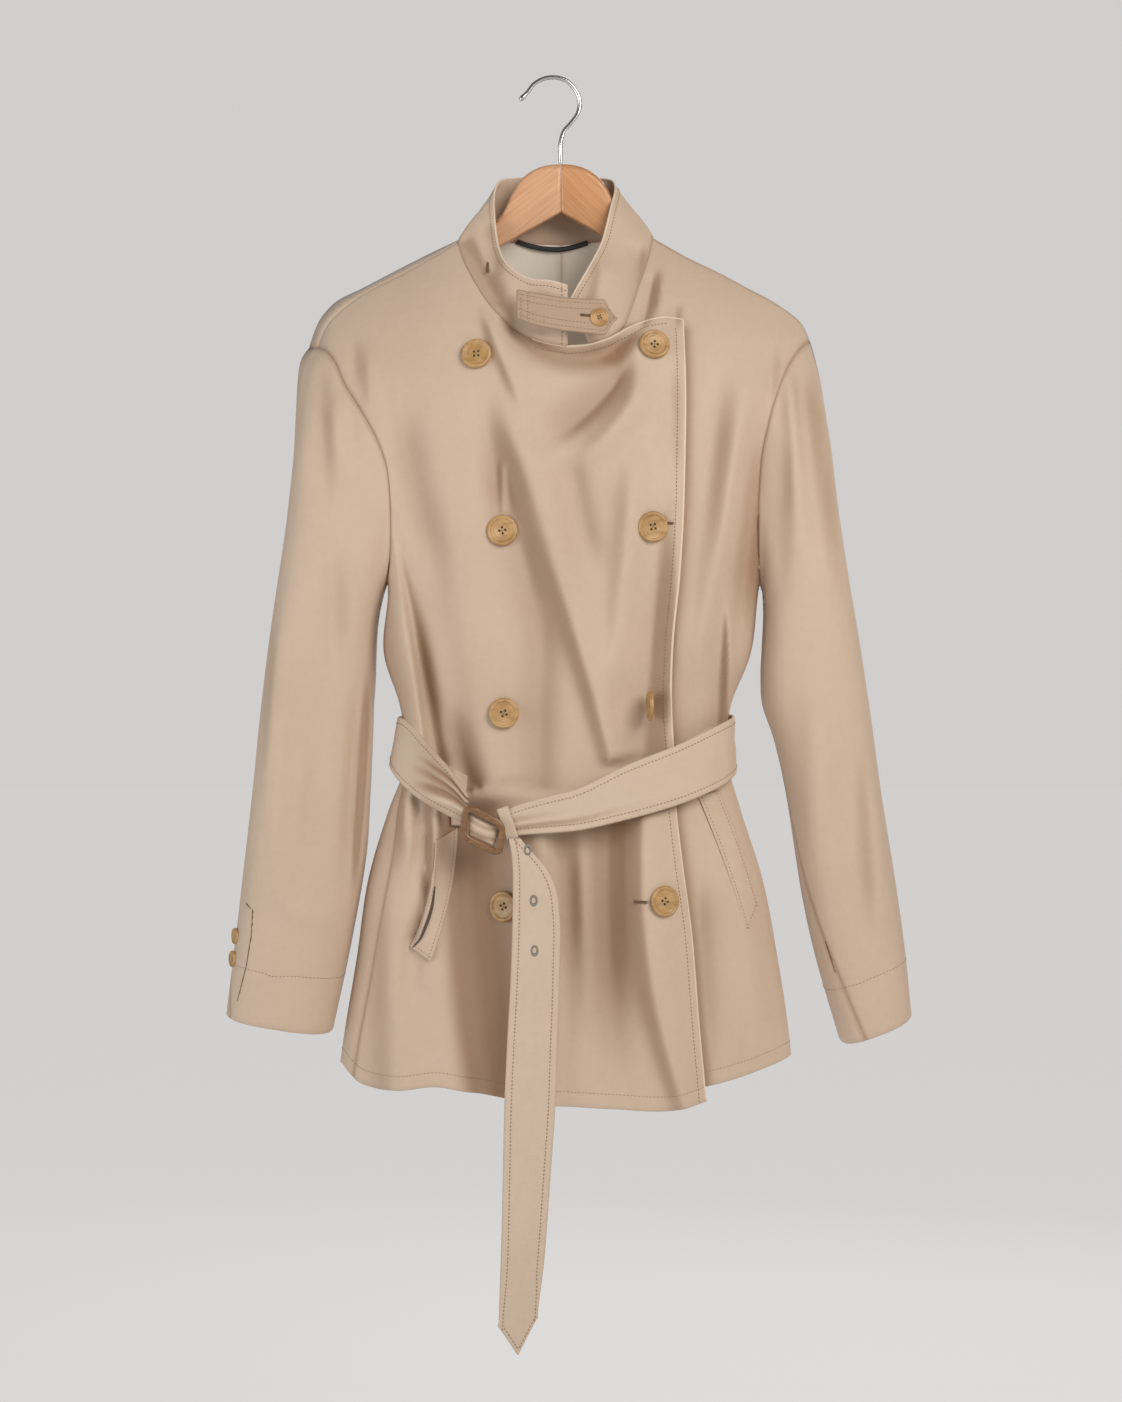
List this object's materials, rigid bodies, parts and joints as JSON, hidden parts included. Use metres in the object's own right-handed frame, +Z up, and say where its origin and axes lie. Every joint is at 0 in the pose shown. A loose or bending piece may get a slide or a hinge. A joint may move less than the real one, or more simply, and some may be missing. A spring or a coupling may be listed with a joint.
{
  "type": "trench coat on a hanger",
  "caption": "Short beige double-breasted trench coat with a stand collar, throat tab and buckled belt, hanging on a wooden hanger with a steel hook.",
  "frame": {"origin": "inside top of the hanger's hook, where it rests on a rail or peg", "axes": "+Z up, +X towards the wearer's left (the viewer's right), the coat's front faces -Y"},
  "size_m": [0.5756, 0.1415, 1.0687],
  "materials": {
    "coat_cloth": "matt cotton gabardine",
    "button_horn": "polished horn look",
    "buckle_brown": "satin, slightly clear brown",
    "loop_tape": "black satin tape",
    "pale_wood": "satin lacquer",
    "wood": "satin lacquer",
    "hook_steel": "polished"
  },
  "bodies": {
    "root": {"back_left": "coat_cloth", "back_right": "coat_cloth", "belt_fold": "coat_cloth", "belt_keeper": "coat_cloth", "belt_loop_left": "coat_cloth", "belt_loop_right": "coat_cloth", "belt_round": "coat_cloth", "belt_tail": "coat_cloth", "buckle": "buckle_brown", "button_left_1": "button_horn", "button_left_2": "button_horn", "button_left_3": "button_horn", "button_left_4": "button_horn", "button_right_1": "button_horn", "button_right_2": "button_horn", "button_right_3": "button_horn", "button_right_4": "button_horn", "collar": "coat_cloth", "cuff_button_left_1": "button_horn", "cuff_button_left_2": "button_horn", "cuff_button_right_1": "button_horn", "cuff_button_right_2": "button_horn", "front_left": "coat_cloth", "front_right": "coat_cloth", "hang_loop": "loop_tape", "hanger_wood_left": "wood", "hanger_wood_right": "pale_wood", "hook": "hook_steel", "pocket_welt_left": "coat_cloth", "pocket_welt_right": "coat_cloth", "tab_button": "button_horn", "throat_tab": "coat_cloth", "top_sleeve_left": "coat_cloth", "top_sleeve_right": "coat_cloth", "under_sleeve_left": "coat_cloth", "under_sleeve_right": "coat_cloth"}
  },
  "joints": []
}
